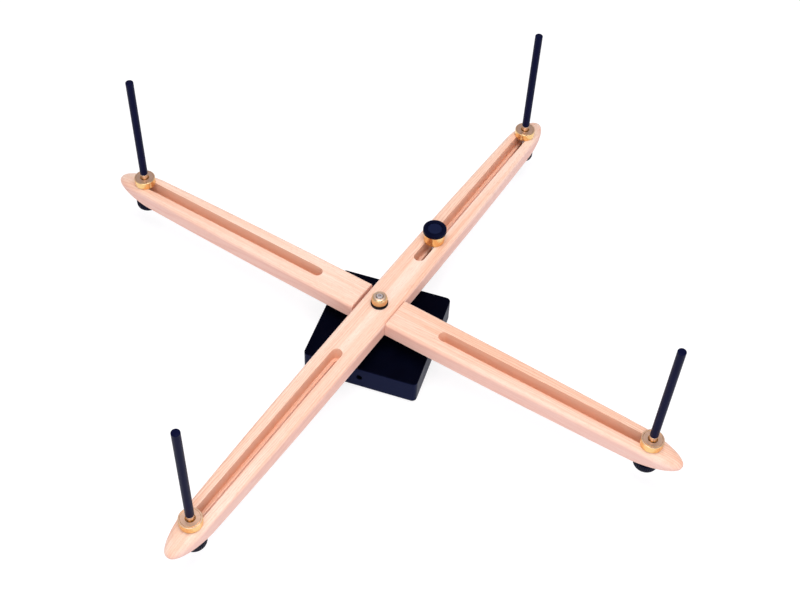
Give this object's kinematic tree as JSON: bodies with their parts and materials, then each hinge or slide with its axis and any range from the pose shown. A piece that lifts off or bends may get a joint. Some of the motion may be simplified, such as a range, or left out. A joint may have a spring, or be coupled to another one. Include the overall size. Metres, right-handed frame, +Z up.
{
  "type": "yarn swift",
  "caption": "Tabletop yarn swift: crossed slotted wooden arms with clamped sliding pegs and a revolving hand knob, spinning on bearings over a square black base.",
  "frame": {"origin": "on the table under the spindle, at the bottom centre of the box", "axes": "+Z up along the spindle; +X along the lower, notched arm; +Y along the upper arm, on the side of the revolving knob. The square base is turned 14.3 degrees about +Z from them"},
  "size_m": [0.61, 0.61, 0.1869],
  "materials": {
    "maple": "satin oiled pale hardwood with faint grain",
    "black_lacquer": "satin black coat",
    "black_rod": "blue-black satin coat",
    "brass": "turned and polished",
    "steel": "turned",
    "black_plastic": "satin",
    "rubber": "matte",
    "nylon": "plain"
  },
  "bodies": {
    "base": {"base_block": "black_lacquer", "base_pad": "rubber", "retaining_ring": "steel", "lower_bearing_outer": "steel", "upper_bearing_outer": "steel"},
    "rotor": {"lower_arm": "maple", "upper_arm": "maple", "spindle": "steel", "bearing_sleeve": "steel", "retaining_washer": "steel", "retaining_screw": "steel", "hub_washer": "rubber", "centre_washer": "black_plastic", "lower_bearing_inner": "steel", "upper_bearing_inner": "steel"},
    "centre_nut": {"centre_nut": "brass"},
    "lower_balls": {"lower_bearing_balls": "steel"},
    "upper_balls": {"upper_bearing_balls": "steel"},
    "drag_pad": {"drag_pad": "nylon"},
    "drag_screw": {"drag_screw": "steel"},
    "peg_1": {"peg_rod_1": "black_rod", "peg_ferrule_1": "brass", "peg_collar_1": "brass", "peg_stud_1": "steel"},
    "peg_2": {"peg_rod_2": "black_rod", "peg_ferrule_2": "brass", "peg_collar_2": "brass", "peg_stud_2": "steel"},
    "peg_3": {"peg_rod_3": "black_rod", "peg_ferrule_3": "brass", "peg_collar_3": "brass", "peg_stud_3": "steel"},
    "peg_4": {"peg_rod_4": "black_rod", "peg_ferrule_4": "brass", "peg_collar_4": "brass", "peg_stud_4": "steel"},
    "clamp_washer_1": {"clamp_washer_1": "steel"},
    "clamp_washer_2": {"clamp_washer_2": "steel"},
    "clamp_washer_3": {"clamp_washer_3": "steel"},
    "clamp_washer_4": {"clamp_washer_4": "steel"},
    "clamp_washer_5": {"clamp_washer_5": "steel"},
    "clamp_knob_1": {"clamp_knob_1": "black_plastic", "clamp_insert_1": "brass"},
    "clamp_knob_2": {"clamp_knob_2": "black_plastic", "clamp_insert_2": "brass"},
    "clamp_knob_3": {"clamp_knob_3": "black_plastic", "clamp_insert_3": "brass"},
    "clamp_knob_4": {"clamp_knob_4": "black_plastic", "clamp_insert_4": "brass"},
    "clamp_knob_5": {"clamp_knob_5": "black_plastic", "clamp_insert_5": "brass"},
    "spinner": {"spinner_collar": "brass", "spinner_screw": "steel"},
    "spinner_knob": {"spinner_knob": "black_plastic", "spinner_cap": "black_plastic"}
  },
  "joints": [
    {"name": "rotor_spin", "type": "hinge", "parent": "base", "child": "rotor", "pos_m": [0, 0, 0.0333], "axis": [0, 0, 1], "continuous": true},
    {"name": "lower_balls_roll", "type": "hinge", "parent": "base", "child": "lower_balls", "pos_m": [0, 0, 0.008], "axis": [0, 0, 1], "continuous": true},
    {"name": "upper_balls_roll", "type": "hinge", "parent": "base", "child": "upper_balls", "pos_m": [0, 0, 0.0221], "axis": [0, 0, 1], "continuous": true},
    {"name": "drag_pad_slide", "type": "slide", "parent": "base", "child": "drag_pad", "axis": [0.247, -0.969, 0], "range_m": [0, 0.0017]},
    {"name": "drag_screw_turn", "type": "hinge", "parent": "drag_pad", "child": "drag_screw", "pos_m": [0, 0, 0.01505], "axis": [0.247, -0.969, 0], "range_deg": [0, 720]},
    {"name": "centre_nut_turn", "type": "hinge", "parent": "rotor", "child": "centre_nut", "pos_m": [0, 0, 0.0653], "axis": [0, 0, 1], "range_deg": [0, 720]},
    {"name": "peg_slide_1", "type": "slide", "parent": "rotor", "child": "peg_1", "axis": [-1, 0, 0], "range_m": [-0.0015, 0.204]},
    {"name": "peg_slide_2", "type": "slide", "parent": "rotor", "child": "peg_2", "axis": [0, -1, 0], "range_m": [-0.0015, 0.138]},
    {"name": "peg_slide_3", "type": "slide", "parent": "rotor", "child": "peg_3", "axis": [1, 0, 0], "range_m": [-0.0015, 0.204]},
    {"name": "peg_slide_4", "type": "slide", "parent": "rotor", "child": "peg_4", "axis": [0, 1, 0], "range_m": [-0.0015, 0.204]},
    {"name": "clamp_drop_1", "type": "slide", "parent": "peg_1", "child": "clamp_washer_1", "axis": [0, 0, -1], "range_m": [0, 0.0017]},
    {"name": "clamp_turn_1", "type": "hinge", "parent": "clamp_washer_1", "child": "clamp_knob_1", "pos_m": [0.274, 0, 0.0353], "axis": [0, 0, -1], "range_deg": [0, 720]},
    {"name": "clamp_drop_2", "type": "slide", "parent": "peg_2", "child": "clamp_washer_2", "axis": [0, 0, -1], "range_m": [0, 0.0017]},
    {"name": "clamp_turn_2", "type": "hinge", "parent": "clamp_washer_2", "child": "clamp_knob_2", "pos_m": [0, 0.274, 0.0353], "axis": [0, 0, -1], "range_deg": [0, 720]},
    {"name": "clamp_drop_3", "type": "slide", "parent": "peg_3", "child": "clamp_washer_3", "axis": [0, 0, -1], "range_m": [0, 0.0017]},
    {"name": "clamp_turn_3", "type": "hinge", "parent": "clamp_washer_3", "child": "clamp_knob_3", "pos_m": [-0.274, 0, 0.0353], "axis": [0, 0, -1], "range_deg": [0, 720]},
    {"name": "clamp_drop_4", "type": "slide", "parent": "peg_4", "child": "clamp_washer_4", "axis": [0, 0, -1], "range_m": [0, 0.0017]},
    {"name": "clamp_turn_4", "type": "hinge", "parent": "clamp_washer_4", "child": "clamp_knob_4", "pos_m": [0, -0.274, 0.0353], "axis": [0, 0, -1], "range_deg": [0, 720]},
    {"name": "spinner_slide", "type": "slide", "parent": "rotor", "child": "spinner", "axis": [0, -1, 0], "range_m": [-0.016, 0.024]},
    {"name": "spinner_turn", "type": "hinge", "parent": "spinner", "child": "spinner_knob", "pos_m": [0, 0.0955, 0.0713], "axis": [0, 0, 1], "continuous": true},
    {"name": "clamp_drop_5", "type": "slide", "parent": "spinner", "child": "clamp_washer_5", "axis": [0, 0, -1], "range_m": [0, 0.0017]},
    {"name": "clamp_turn_5", "type": "hinge", "parent": "clamp_washer_5", "child": "clamp_knob_5", "pos_m": [0, 0.0955, 0.0353], "axis": [0, 0, -1], "range_deg": [0, 720]}
  ],
  "couplings": [
    {"joint": "lower_balls_roll", "follows": "rotor_spin", "ratio": 0.4208},
    {"joint": "upper_balls_roll", "follows": "rotor_spin", "ratio": 0.4208},
    {"joint": "drag_pad_slide", "follows": "drag_screw_turn", "m_per_rad": 0.00012732},
    {"joint": "clamp_drop_1", "follows": "clamp_turn_1", "m_per_rad": 0.00012732},
    {"joint": "clamp_drop_2", "follows": "clamp_turn_2", "m_per_rad": 0.00012732},
    {"joint": "clamp_drop_3", "follows": "clamp_turn_3", "m_per_rad": 0.00012732},
    {"joint": "clamp_drop_4", "follows": "clamp_turn_4", "m_per_rad": 0.00012732},
    {"joint": "clamp_drop_5", "follows": "clamp_turn_5", "m_per_rad": 0.00012732}
  ]
}
